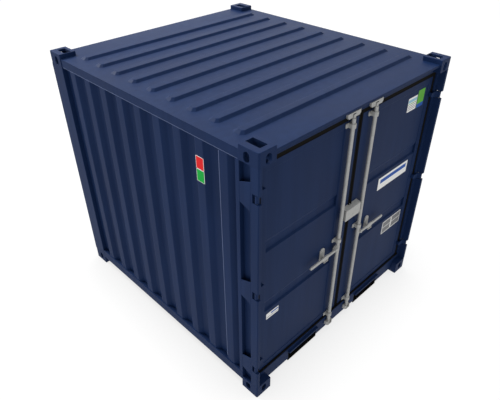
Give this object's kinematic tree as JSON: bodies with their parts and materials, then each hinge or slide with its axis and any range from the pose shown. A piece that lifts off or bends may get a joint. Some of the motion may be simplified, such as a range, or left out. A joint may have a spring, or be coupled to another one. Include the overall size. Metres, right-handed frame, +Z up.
{
  "type": "shipping_container",
  "caption": "Small dark blue storage shipping container with corrugated walls, ribbed roof, double swing doors, lock rods, corner castings and fork pockets",
  "frame": {"origin": "bottom centre of the container on the level ground", "axes": "+Z up, -Y the door end, +X the right side seen facing the doors"},
  "size_m": [2.2, 2.438, 2.26],
  "materials": {
    "painted_steel": "satin",
    "galvanised_steel": "satin",
    "gasket_rubber": "matte",
    "plywood": "satin",
    "underbody_coating": "matte"
  },
  "bodies": {
    "frame": {"door_header": "painted_steel", "door_post_left": "painted_steel", "door_post_right": "painted_steel", "door_sill": "painted_steel", "end_wall": "painted_steel", "floor_beams": "underbody_coating", "floor_boards": "plywood", "fork_pocket_left": "underbody_coating", "fork_pocket_right": "underbody_coating", "hinge_gussets": "painted_steel", "hinge_pins": "galvanised_steel", "low_casting_door_left": "painted_steel", "low_casting_door_right": "painted_steel", "low_casting_rear_left": "painted_steel", "low_casting_rear_right": "painted_steel", "low_keepers": "galvanised_steel", "low_rail_left": "painted_steel", "low_rail_right": "painted_steel", "rear_header": "painted_steel", "rear_post_left": "painted_steel", "rear_post_right": "painted_steel", "rear_sill": "painted_steel", "roof_panel": "painted_steel", "side_wall_left": "painted_steel", "side_wall_right": "painted_steel", "top_casting_door_left": "painted_steel", "top_casting_door_right": "painted_steel", "top_casting_rear_left": "painted_steel", "top_casting_rear_right": "painted_steel", "top_keepers": "galvanised_steel", "top_rail_left": "painted_steel", "top_rail_right": "painted_steel"},
    "door_left": {"handle_catch_left": "galvanised_steel", "hinge_blades_left": "painted_steel", "leaf_frame_left": "painted_steel", "leaf_gasket_left": "gasket_rubber", "leaf_panel_left": "painted_steel", "lock_box_left": "galvanised_steel", "rod_guides_left": "galvanised_steel"},
    "door_right": {"handle_catch_right": "galvanised_steel", "hinge_blades_right": "painted_steel", "leaf_frame_right": "painted_steel", "leaf_gasket_right": "gasket_rubber", "leaf_panel_right": "painted_steel", "lock_box_right": "galvanised_steel", "rod_guides_right": "galvanised_steel"},
    "rod_left": {"lock_rod_left": "galvanised_steel"},
    "rod_right": {"lock_rod_right": "galvanised_steel"},
    "handle_left": {"handle_left": "galvanised_steel"},
    "handle_right": {"handle_right": "galvanised_steel"}
  },
  "joints": [
    {"name": "door_swing_right", "type": "hinge", "parent": "frame", "child": "door_right", "pos_m": [1.085, -1.192, 1.1335], "axis": [0, 0, 1], "range_deg": [0, 265]},
    {"name": "rod_turn_right", "type": "hinge", "parent": "door_right", "child": "rod_right", "pos_m": [0.136, -1.176, 0.98], "axis": [0, 0, 1], "range_deg": [-90, 0]},
    {"name": "handle_lift_right", "type": "hinge", "parent": "rod_right", "child": "handle_right", "pos_m": [0.172, -1.1854, 0.98], "axis": [0, -1, 0], "range_deg": [0, 25]},
    {"name": "door_swing_left", "type": "hinge", "parent": "frame", "child": "door_left", "pos_m": [-1.085, -1.192, 1.1335], "axis": [0, 0, -1], "range_deg": [0, 265]},
    {"name": "rod_turn_left", "type": "hinge", "parent": "door_left", "child": "rod_left", "pos_m": [-0.136, -1.176, 0.98], "axis": [0, 0, -1], "range_deg": [-90, 0]},
    {"name": "handle_lift_left", "type": "hinge", "parent": "rod_left", "child": "handle_left", "pos_m": [-0.172, -1.1854, 0.98], "axis": [0, 1, 0], "range_deg": [0, 25]}
  ]
}
